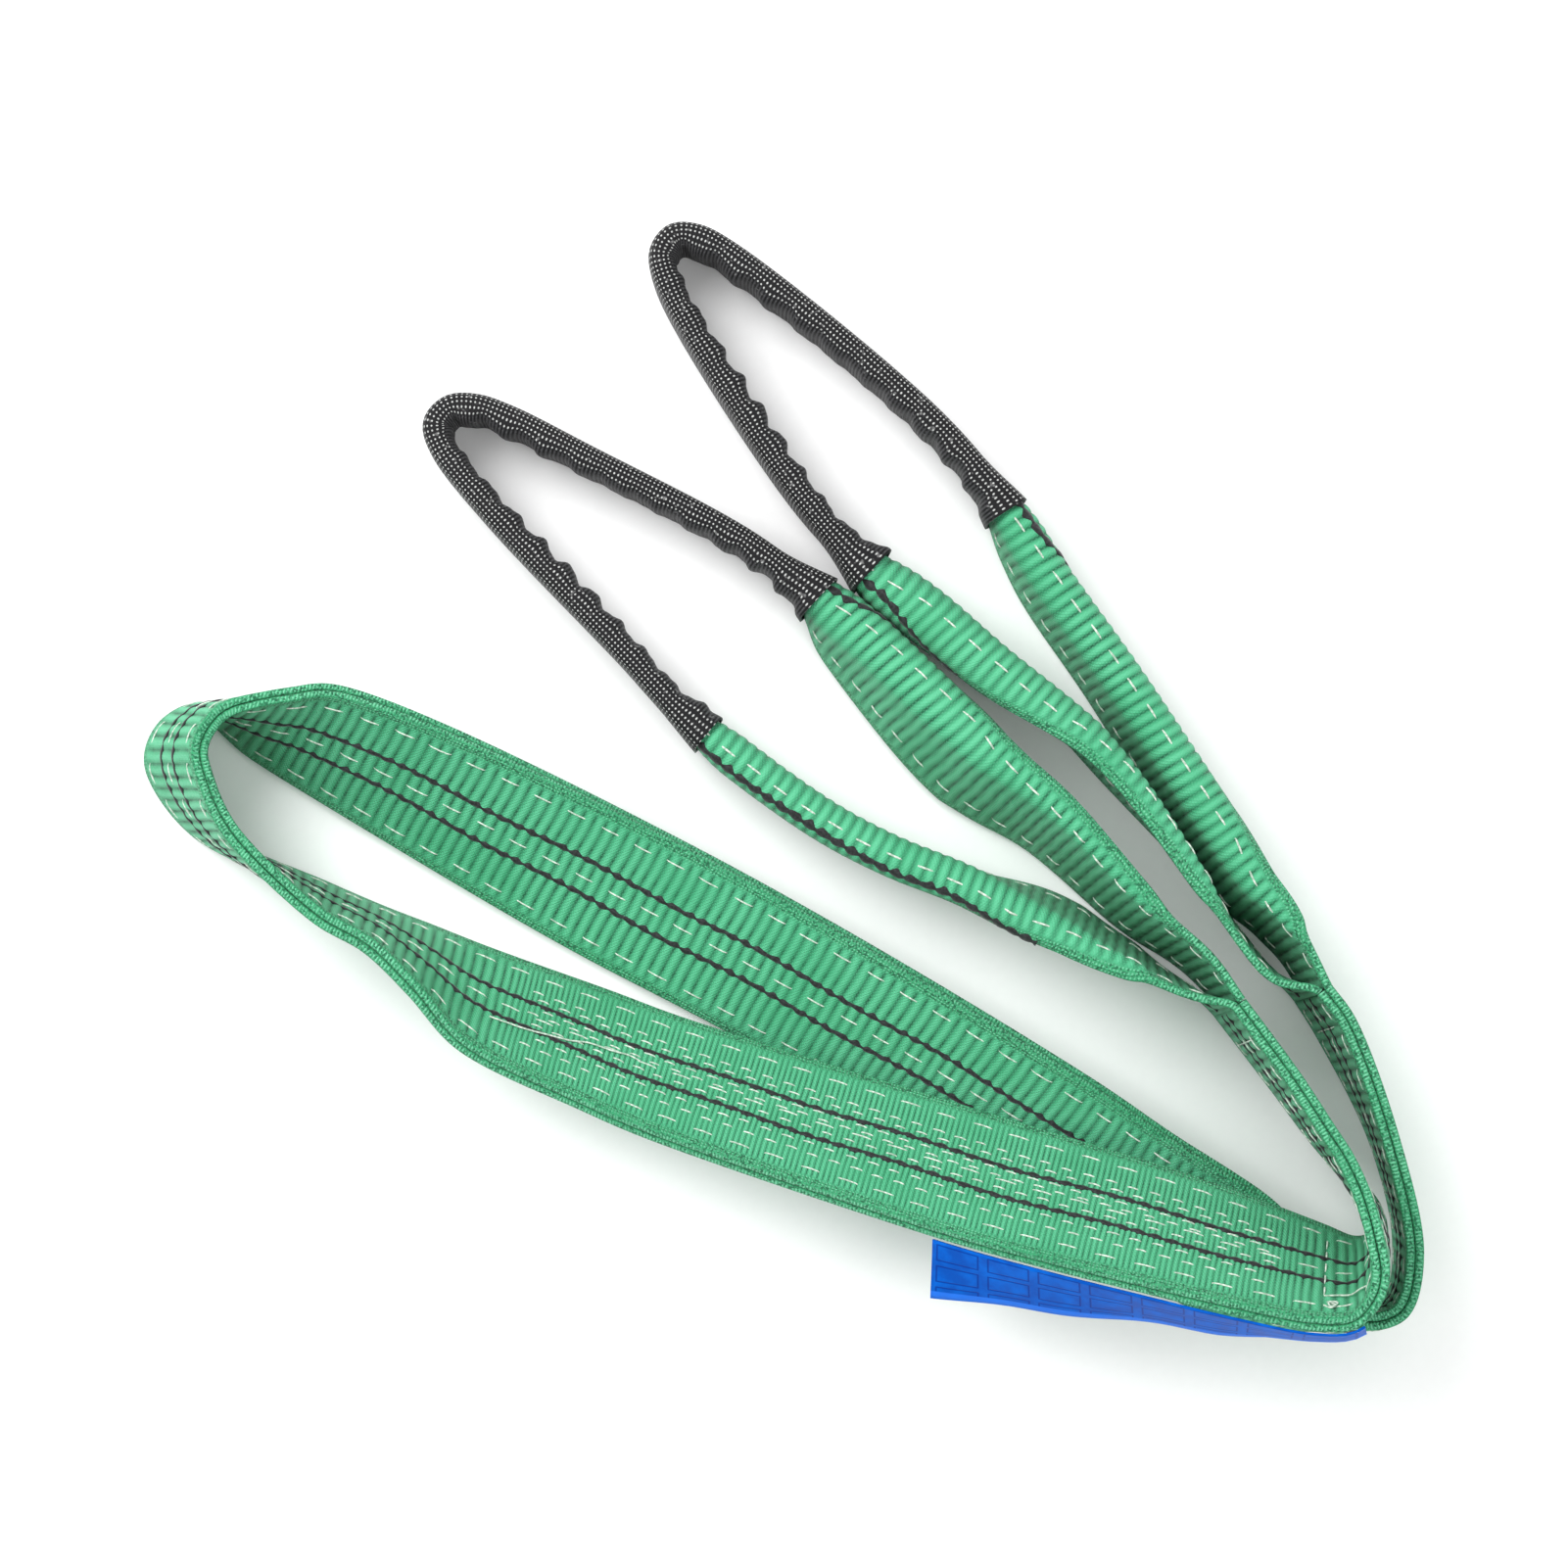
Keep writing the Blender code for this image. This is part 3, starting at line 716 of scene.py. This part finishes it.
class Look:
    """A node material whose nodes are made one call at a time."""

    def __init__(self, name, roughness, sheen=0.0, specular=0.5):
        self.material = bpy.data.materials.new(name)
        self.material.use_nodes = True
        self.tree = self.material.node_tree
        self.shader = self.tree.nodes["Principled BSDF"]
        self.shader.inputs["Roughness"].default_value = roughness
        self.shader.inputs["Sheen Weight"].default_value = sheen
        self.shader.inputs["Specular IOR Level"].default_value = specular

    def plug(self, value, socket):
        if isinstance(value, bpy.types.NodeSocket):
            self.tree.links.new(value, socket)
        else:
            socket.default_value = value

    def maths(self, operation, *values):
        node = self.tree.nodes.new("ShaderNodeMath")
        node.operation = operation
        for value, socket in zip(values, node.inputs):
            self.plug(value, socket)
        return node.outputs[0]

    def times(self, first, second):
        return self.maths("MULTIPLY", first, second)

    def less(self, first, second):
        return self.maths("SUBTRACT", first, second)

    def weigh(self, value, factor, extra):
        """The value times a factor, plus something extra."""
        return self.maths("MULTIPLY_ADD", value, factor, extra)

    def cloth(self):
        """The note at each point of the mesh, as three numbers."""
        node = self.tree.nodes.new("ShaderNodeAttribute")
        node.attribute_name = "cloth"
        split = self.tree.nodes.new("ShaderNodeSeparateXYZ")
        self.tree.links.new(node.outputs["Vector"], split.inputs[0])
        return split.outputs

    def flat_place(self, x, y):
        node = self.tree.nodes.new("ShaderNodeCombineXYZ")
        self.plug(x, node.inputs[0])
        self.plug(y, node.inputs[1])
        return node.outputs[0]

    def noise(self, scale, place=None, detail=3.0):
        """Noise at a place, or in the object's own space."""
        node = self.tree.nodes.new("ShaderNodeTexNoise")
        node.inputs["Scale"].default_value = scale
        node.inputs["Detail"].default_value = detail
        if place is None:
            place = self.tree.nodes.new("ShaderNodeTexCoord").outputs["Object"]
        self.tree.links.new(place, node.inputs["Vector"])
        return node.outputs["Fac"]

    def wave(self, value, pitch, shift=0.0):
        """A sine of the value, from 0 to 1."""
        turned = self.weigh(value, 2 * math.pi / pitch, shift)
        return self.weigh(self.maths("SINE", turned), 0.5, 0.5)

    def band(self, value, low, high):
        """0 at low, 1 at high, and level beyond them."""
        node = self.tree.nodes.new("ShaderNodeMapRange")
        node.interpolation_type = "SMOOTHSTEP"
        self.plug(value, node.inputs["Value"])
        node.inputs["From Min"].default_value = low
        node.inputs["From Max"].default_value = high
        return node.outputs["Result"]

    def from_middle(self, value, pitch):
        """The distance to the middle of a stretch that repeats every pitch."""
        return self.maths("ABSOLUTE", self.less(self.maths("MODULO", value, pitch), pitch / 2))

    def line(self, value, at):
        """1 where the value is near at, and 0 away from there."""
        away = self.maths("ABSOLUTE", self.less(value, at))
        return self.less(1.0, self.band(away, *BOX_LINE))

    def mix(self, share, first, second):
        node = self.tree.nodes.new("ShaderNodeMix")
        node.data_type = "RGBA"
        self.plug(share, node.inputs[0])
        for value, socket in ((first, node.inputs[6]), (second, node.inputs[7])):
            self.plug(value if isinstance(value, bpy.types.NodeSocket) else (*value, 1.0), socket)
        return node.outputs[2]

    def tint(self, colour, share, strength, other):
        """The colour with another laid over it, where the share is high."""
        return self.mix(self.times(share, strength), colour, other)

    def finish(self, colour, height, distance, roughness=None):
        bump = self.tree.nodes.new("ShaderNodeBump")
        bump.inputs["Distance"].default_value = distance
        bump.inputs["Strength"].default_value = BUMP_STRENGTH
        self.tree.links.new(height, bump.inputs["Height"])
        self.tree.links.new(bump.outputs["Normal"], self.shader.inputs["Normal"])
        self.tree.links.new(colour, self.shader.inputs["Base Color"])
        if roughness is not None:
            self.tree.links.new(roughness, self.shader.inputs["Roughness"])
        return self.material


def webbing_look():
    """Green polyester: ribs with painted shade in their grooves and a painted highlight on their
    crests, crossing yarns with a painted highlight, dotted selvedges and a little uneven dye.
    """
    look = Look("webbing_green", 0.6, sheen=0.08, specular=0.2)
    along, over, relief = look.cloth()
    slant = look.times(along, YARN_SLANT)
    rising = look.wave(look.maths("ADD", slant, over), YARN_PITCH)
    falling = look.wave(look.less(slant, over), YARN_PITCH)
    yarns = look.times(rising, falling)
    from_edge = look.maths("MINIMUM", over, look.less(WEB_WIDTH, over))
    edge = look.less(1.0, look.band(from_edge, SELVEDGE - SELVEDGE_FADE, SELVEDGE))
    dots = look.times(look.wave(along, DOT_PITCHES[0]), look.wave(over, DOT_PITCHES[1], 1.0))
    patches = look.noise(38.0)
    specks = look.noise(1100.0, detail=1.0)
    fibres = look.noise(1.0, look.flat_place(look.times(along, 0.5), look.times(over, 3.0)))
    # Painted shade and highlight from the ribs' relief: dark in the grooves, lighter on the crests,
    # and a painted highlight on top of the crests.
    colour = look.mix(look.band(relief, -0.7, 0.25), WEB_COLOURS["groove_shade"], WEB_COLOURS["crest"])
    colour = look.tint(colour, look.band(relief, 0.05, 0.25), 0.38, WEB_COLOURS["crest_highlight"])
    # Painted highlight on the crossing yarns.
    colour = look.tint(colour, yarns, 0.35, WEB_COLOURS["yarn"])
    dotted = look.mix(dots, WEB_COLOURS["edge"], WEB_COLOURS["edge_dot"])
    dotted = look.mix(look.band(specks, 0.5, 0.38), dotted, WEB_COLOURS["edge_speck"])
    colour = look.tint(colour, edge, 0.85, dotted)
    colour = look.tint(colour, look.band(patches, 0.35, 0.75), 0.3, WEB_COLOURS["patch"])
    colour = look.tint(colour, look.band(fibres, 0.55, 0.8), 0.25, WEB_COLOURS["fibre"])
    height = look.maths("ADD", look.times(yarns, 0.6), look.times(dots, edge))
    height = look.weigh(fibres, 0.5, height)
    return look.finish(colour, height, 0.0005, look.weigh(patches, 0.3, 0.5))


def yarn_look(name, colours, roughness):
    """Twisted yarn with a mottled colour and fine fibres."""
    look = Look(name, roughness, sheen=0.2, specular=0.3)
    fibres = look.noise(900.0, detail=4.0)
    patches = look.noise(120.0)
    colour = look.mix(look.band(fibres, 0.35, 0.7), *colours)
    height = look.weigh(patches, 0.5, fibres)
    return look.finish(colour, height, 0.0003, look.weigh(patches, 0.2, roughness - 0.1))


def sleeve_look():
    """Black sleeve with a grid of white picks, and fine cross ribs on the inside of the loop, with
    painted shade in their grooves.
    """
    look = Look("sleeve_weave", 0.75, sheen=0.05, specular=0.2)
    along, around, checked = look.cloth()
    grid = look.times(look.wave(along, PICK_PITCH), look.wave(around, PICK_PITCH))
    pick = look.band(grid, 0.48, 0.8)
    rib = look.band(look.wave(along, SLEEVE_RIB_PITCH), 0.35, 0.8)
    speckle = look.noise(420.0)
    checks = look.mix(pick, SLEEVE_COLOURS["ground"], SLEEVE_COLOURS["pick"])
    # Painted shade: the cross ribs are darker in their grooves.
    ribbed = look.mix(rib, SLEEVE_COLOURS["groove_shade"], SLEEVE_COLOURS["rib"])
    colour = look.mix(look.band(checked, 0.35, 0.65), ribbed, checks)
    colour = look.tint(colour, look.band(speckle, 0.62, 0.75), 0.5, SLEEVE_COLOURS["speckle"])
    height = look.maths("ADD", look.times(pick, 0.8), look.times(rib, 0.6))
    return look.finish(colour, height, 0.0005, look.weigh(speckle, 0.3, 0.5))


def label_look():
    """Coated blue label with empty printed boxes and a paler hem, whose pale colour is partly a
    painted highlight along the free edge.
    """
    look = Look("label_print", 0.5, specular=0.06)
    along, down, _ = look.cloth()
    column = look.from_middle(along, BOX_PITCH)
    row = look.from_middle(down, BOX_ROW_PITCH)
    wide, tall = BOX_HALF
    in_column = look.maths("LESS_THAN", column, wide + BOX_OVERRUN)
    in_row = look.maths("LESS_THAN", row, tall + BOX_OVERRUN)
    upright = look.times(look.line(column, wide), in_row)
    level = look.times(look.line(row, tall), in_column)
    hem_and_highlight = look.band(down, *HEM)
    frames = look.times(look.maths("MAXIMUM", upright, level), look.less(1.0, hem_and_highlight))
    scuffs = look.noise(160.0, detail=5.0)
    colour = look.mix(look.band(scuffs, 0.3, 0.75), LABEL_COLOURS["dark"], LABEL_COLOURS["light"])
    colour = look.tint(colour, frames, 0.7, LABEL_COLOURS["frame"])
    # Painted highlight along the free edge, laid over the paler hem.
    colour = look.tint(colour, hem_and_highlight, 0.6, LABEL_COLOURS["hem_and_highlight"])
    height = look.less(look.times(scuffs, 0.4), look.times(frames, 0.5))
    return look.finish(colour, height, 0.0002, look.weigh(scuffs, 0.25, 0.38))


def floor_look():
    look = Look("floor", 0.9, specular=0.1)
    grain = look.noise(300.0)
    return look.finish(look.mix(grain, *FLOOR_COLOURS), grain, 0.00005)


# ---------------------------------------------------------------- pieces


def settle(piece, node):
    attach(piece, "body")
    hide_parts(node)


def bend_with(piece, web):
    """Bakes the piece's transform into its mesh, without attaching it to the body or the eye. The
    middle between the arms at the split and the way towards the eye are worked out, but not used.
    """
    start = web.between_arms(0.0)
    way = unit(web.between_arms(BLEND_AIM) - start)
    way[2] = 0.0
    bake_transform(piece)


def add_plies(plies, look):
    for name, side in SIDES.items():
        web = plies[side]
        points, faces, notes = webbing_mesh(web, OVERLAP_STRETCH, hidden_side=-side)
        piece = new_piece(f"web_{name}_ply", points, faces, look, notes)
        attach(piece, "body")
        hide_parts(f"body_ply_{name}")


def add_seams(plies, thread):
    """The long rows. The loose end of one of them is joined to it."""
    end = plies[1].length[-1] - SEAM_INSET
    for place_name, share in SEAM_PLACES.items():
        for thread_name, side in THREAD_SIDES.items():
            face = side * PLY / 2
            row = stitch_row(plies[side], SEAM_INSET, end, at_share(share), face)
            if (place_name, thread_name) == ("middle", "needle"):
                row = joined([row, loose_thread(plies[side], LONG_TAIL, face)])
            piece = new_piece(f"stitches_{place_name}_{thread_name}", *row, thread)
            settle(piece, f"seam_{place_name}_{thread_name}_thread")


def add_body_tracers(plies, look):
    end = plies[1].length[-1] - BODY_TRACER_INSET
    for place_name, share in TRACER_PLACES.items():
        for face_name, side in SIDES.items():
            chain = tracer_mesh(plies[side], BODY_TRACER_INSET, end, at_share(share), side * PLY / 2)
            piece = new_piece(f"tracer_{place_name}_{face_name}", *chain, look)
            settle(piece, f"tracer_{place_name}_{face_name}_face")


def add_overlap_rows(plies, thread):
    """Short rows of short stitches, which don't start level with each other."""
    start, end = OVERLAP_STRETCH
    sizes = (SHORT_STITCH, SHORT_STITCH_GAP)
    for thread_name, side in THREAD_SIDES.items():
        rows = []
        for number, share in enumerate(OVERLAP_ROWS):
            first = start + OVERLAP_STAGGER * (number % 3)
            rows.append(stitch_row(plies[side], first, end, at_share(share), side * PLY / 2, *sizes))
        piece = new_piece(f"overlap_stitches_{thread_name}", *joined(rows), thread)
        settle(piece, f"overlap_seam_{thread_name}_thread")


def add_tacks(plies, thread):
    """Cross rows at both splits and at the end of the overlap, which has two loose ends."""
    length = plies[1].length[-1]
    for number, at in ((1, ROOT_TACK_INSET), (2, length - ROOT_TACK_INSET)):
        for name, side in SIDES.items():
            mesh = crossing_stitches(plies[side], at, ROOT_TACK_SPAN, side * PLY / 2)
            piece = new_piece(f"eye_{number}_tack_{name}", *mesh, thread)
            settle(piece, f"eye_{number}_root_tack_{name}")
    parts = [crossing_stitches(plies[1], END_TACK_AT, END_TACK_SPAN, PLY / 2)]
    parts += [loose_thread(plies[1], path, PLY / 2) for path in (TACK_TAIL, TACK_KNOT)]
    settle(new_piece("overlap_end_tack", *joined(parts), thread), "body_end_tack")


def add_strap(number, web, look):
    points, faces, notes = webbing_mesh(web)
    strap = new_piece(f"eye_{number}_strap", points, faces, look, notes)
    bend_with(strap, web)
    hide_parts(f"eye_{number}_webbing")


def arm_stretch(web, mouth, away, inset):
    """A bare arm's lower and higher length. away is 1 where the split is the higher one, or -1."""
    split = web.length[-1] if away > 0 else 0.0
    return sorted((mouth - away * UNDER_SLEEVE, split - away * inset))


def add_arm_stitches(number, name, web, mouth, away, thread):
    """Rows on both faces of a bare arm: along its crown and near its foot."""
    stretch = arm_stretch(web, mouth, away, ARM_SEAM_INSET)
    rows = []
    for face in (-PLY / 2, PLY / 2):
        for place in (web.crown, at_share(ARM_SEAM_PLACE)):
            rows.append(stitch_row(web, *stretch, place, face, ARM_STITCH))
    piece = new_piece(f"eye_{number}_fold_stitches_{name}", *joined(rows), thread)
    bend_with(piece, web)
    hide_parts(f"eye_{number}_fold_seam_{name}")


def add_arm_tracer(number, name, web, mouth, away, look):
    """A low tracer outside the loop, and one on top that shows near the sleeve's mouth."""
    stretch = arm_stretch(web, mouth, away, ARM_TRACER_INSET)
    low = tracer_mesh(web, *stretch, at_share(TRACER_PLACES["low"]), -PLY / 2)
    reach = TRACER_REACH[number, name]
    ends = sorted((mouth - away * UNDER_SLEEVE, mouth + away * (reach + TRACER_FALL)))
    top = tracer_mesh(web, *ends, falling_tracer(web, mouth, reach), PLY / 2, TOP_TRACER_HALF)
    piece = new_piece(f"eye_{number}_tracer_{name}", *joined([low, top]), look)
    bend_with(piece, web)


def add_eye(number, web, looks):
    """A strap, the yarns of its two bare arms, and the sleeve between them."""
    add_strap(number, web, looks["webbing"])
    start, end = SLEEVES[number]
    for name, mouth, away in (("a", start, -1), ("b", end, 1)):
        add_arm_stitches(number, name, web, mouth, away, looks["thread"])
        add_arm_tracer(number, name, web, mouth, away, looks["tracer"])
    add_sleeve(number, web, looks["sleeve"])


def sleeve_section():
    """A flat oval going round once, as shares of half its height and of half its thickness."""
    angle = np.arange(SLEEVE_SIDES) * 2 * math.pi / SLEEVE_SIDES
    up = np.sign(np.sin(angle)) * np.abs(np.sin(angle)) ** OVAL_UP_POWER
    off = np.sign(np.cos(angle)) * np.abs(np.cos(angle)) ** OVAL_OFF_POWER
    return up, off


def gathers(lengths, up, off):
    """How far the cloth stands in from the strap: uneven ripples on the inside of the loop."""
    turn = 2 * math.pi * lengths / GATHER_PITCH + 1.4 * np.sin(lengths / 37.0)
    swell = 0.7 + 0.3 * np.sin(lengths / 17.0)
    ripple = (0.5 + 0.5 * np.sin(turn)) * swell + 0.1 * np.sin(2.3 * turn)
    inward = np.clip(off, 0.0, 1.0) * (0.55 + 0.45 * np.sin(1.3 * up + 0.4))
    return ripple[:, None] * inward[None, :] * GATHER_DEPTH


def sleeve_points(web, lengths, outside):
    """Rings round the folded strap, at a distance outside it."""
    up, off = sleeve_section()
    width = web.read(web.width, lengths)[:, None]
    half = PLY / 2 + web.read(web.radius, lengths)[:, None]
    raised = width / 2 + (width / 2 + outside) * up[None, :]
    aside = (half + outside) * off[None, :] + gathers(lengths, up, off)
    low = web.read(web.low, lengths)[:, None, :]
    across = web.read(web.across, lengths)[:, None, :]
    left = web.read(web.left, lengths)[:, None, :]
    return low + across * raised[..., None] + left * aside[..., None]


def sleeve_rims(rows):
    """Quads that close the wall at both ends, between the outer rings and the inner ones."""
    count = rows * SLEEVE_SIDES
    last = count - SLEEVE_SIDES
    rims = []
    for first, order in ((0, 1), (last, -1)):
        for j in range(SLEEVE_SIDES):
            k = (j + 1) % SLEEVE_SIDES
            rim = [first + j, first + count + j, first + count + k, first + k]
            rims.append(rim[::order])
    return rims


def sleeve_notes(lengths):
    """The length, the distance round, and how much of the checked weave shows, at each point."""
    up, off = sleeve_section()
    corners = np.stack([up * (WEB_WIDTH / 4 + SLEEVE_OUTSIDE), off * (PLY + SLEEVE_OUTSIDE)], axis=-1)
    steps = np.linalg.norm(np.diff(corners, axis=0), axis=1)
    around = np.concatenate([[0.0], np.cumsum(steps)])
    checked = np.maximum(np.abs(up), -off) - CHECKS_LOST_INSIDE * np.clip(off, 0.0, 1.0)
    return notes_of(lengths[:, None], around[None, :], checked[None, :])


def add_sleeve(number, web, look):
    start, end = SLEEVES[number]
    lengths = np.arange(start, end + SLEEVE_STEP / 2, SLEEVE_STEP)
    outer = sleeve_points(web, lengths, SLEEVE_OUTSIDE)
    inner = sleeve_points(web, lengths, SLEEVE_OUTSIDE - SLEEVE_WALL)
    outside = skin(len(lengths), SLEEVE_SIDES)[:-2]
    inside = [[i + len(lengths) * SLEEVE_SIDES for i in reversed(face)] for face in outside]
    faces = outside + inside + sleeve_rims(len(lengths))
    notes = sleeve_notes(lengths)
    piece = new_piece(f"sleeve_{number}", [outer, inner], faces, look, [notes, notes])
    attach(piece, f"eye_{number}")
    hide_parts(f"wear_sleeve_{number}")


def label_rings(web, along, down):
    """Rings round the label: down its front and up its back, from the web's high edge."""
    at, out_x, out_y = np.array(LABEL_ROUTE).T
    roots = web.at(along, WEB_WIDTH, -(CLEAR / 2 + PLY + LABEL_PLAY))
    step_x = np.interp(along, at, out_x)
    step_y = np.interp(along, at, out_y)
    fall = np.sqrt(LABEL_DROP**2 - step_x**2 - step_y**2)
    drops = np.stack([step_x, step_y, -fall], axis=-1)
    facing = unit(np.cross(drops, unit(np.gradient(roots, axis=0))))[:, None, :]
    wave = LABEL_WAVE * np.sin(along / LABEL_WAVE_LENGTH)[:, None] * (down**2)[None, :]
    sheet = roots[:, None, :] + drops[:, None, :] * down[None, :, None] + facing * wave[..., None]
    half = facing * LABEL_THICKNESS / 2
    return np.concatenate([sheet + half, (sheet - half)[:, ::-1, :]], axis=1)


def add_label(web, look):
    """A thin sheet that hangs from the body's high edge to a slightly wavy free edge."""
    start, end = LABEL_ROUTE[0][0], LABEL_ROUTE[-1][0]
    along = np.arange(start, end + LABEL_STEP / 2, LABEL_STEP)
    down = np.linspace(0.0, 1.0, LABEL_ROWS)
    rings = label_rings(web, along, down)
    both_faces = np.concatenate([down, down[::-1]]) * LABEL_DROP
    notes = notes_of(along[:, None] - start, both_faces[None, :], 0.0)
    piece = new_piece("sewn_label", rings, skin(len(along), len(both_faces)), look, notes)
    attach(piece, "label_flap")
    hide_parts("label")


# ---------------------------------------------------------------- studio


def add_area_light(name, place, size, power):
    """A square light that faces the origin."""
    data = bpy.data.lights.new(name, "AREA")
    data.shape = "SQUARE"
    data.size = size
    data.energy = power
    light = bpy.data.objects.new(name, data)
    light.location = place
    light.rotation_euler = (-Vector(place)).to_track_quat("-Z", "Y").to_euler()
    bpy.context.scene.collection.objects.link(light)


def add_floor():
    """A plain square under the sling."""
    corners = [(-1, -1), (1, -1), (1, 1), (-1, 1)]
    points = [(x * FLOOR_HALF, y * FLOOR_HALF, FLOOR_LEVEL) for x, y in corners]
    new_piece("floor", points, [[0, 1, 2, 3]], floor_look())


def add_studio():
    add_floor()
    world = bpy.data.worlds.new("studio")
    world.use_nodes = True
    background = world.node_tree.nodes["Background"]
    background.inputs["Color"].default_value = (1.0, 1.0, 1.0, 1.0)
    background.inputs["Strength"].default_value = WORLD_STRENGTH
    bpy.context.scene.world = world
    bpy.context.scene.view_settings.view_transform = "Standard"
    for name, (place, size, power) in LIGHTS.items():
        add_area_light(name, place, size, power)


def add_camera():
    """A long lens that looks almost straight down."""
    data = bpy.data.cameras.new("camera")
    data.lens = LENS
    data.sensor_width = SENSOR
    camera = bpy.data.objects.new("camera", data)
    elevation = math.radians(CAMERA_ELEVATION)
    back = Vector((0.0, -math.cos(elevation), math.sin(elevation)))
    camera.location = Vector(CAMERA_TARGET) + back * CAMERA_DISTANCE
    camera.rotation_mode = "QUATERNION"
    camera.rotation_quaternion = (-back).to_track_quat("-Z", "Y")
    bpy.context.scene.collection.objects.link(camera)
    bpy.context.scene.camera = camera


def main():
    looks = {
        "webbing": webbing_look(),
        "thread": yarn_look("thread_white", THREAD_COLOURS, 0.7),
        "tracer": yarn_look("tracer_black", TRACER_COLOURS, 0.6),
        "sleeve": sleeve_look(),
        "label": label_look(),
    }
    low, high = body_edges()
    plies = {side: Web(low, high, side * PLY_OFFSET) for side in SIDES.values()}
    add_plies(plies, looks["webbing"])
    add_seams(plies, looks["thread"])
    add_body_tracers(plies, looks["tracer"])
    add_overlap_rows(plies, looks["thread"])
    add_tacks(plies, looks["thread"])
    for number in EYE_ROUTES:
        add_eye(number, eye_web(number, plies), looks)
    add_label(Web(low, high), looks["label"])
    add_studio()
    add_camera()


main()
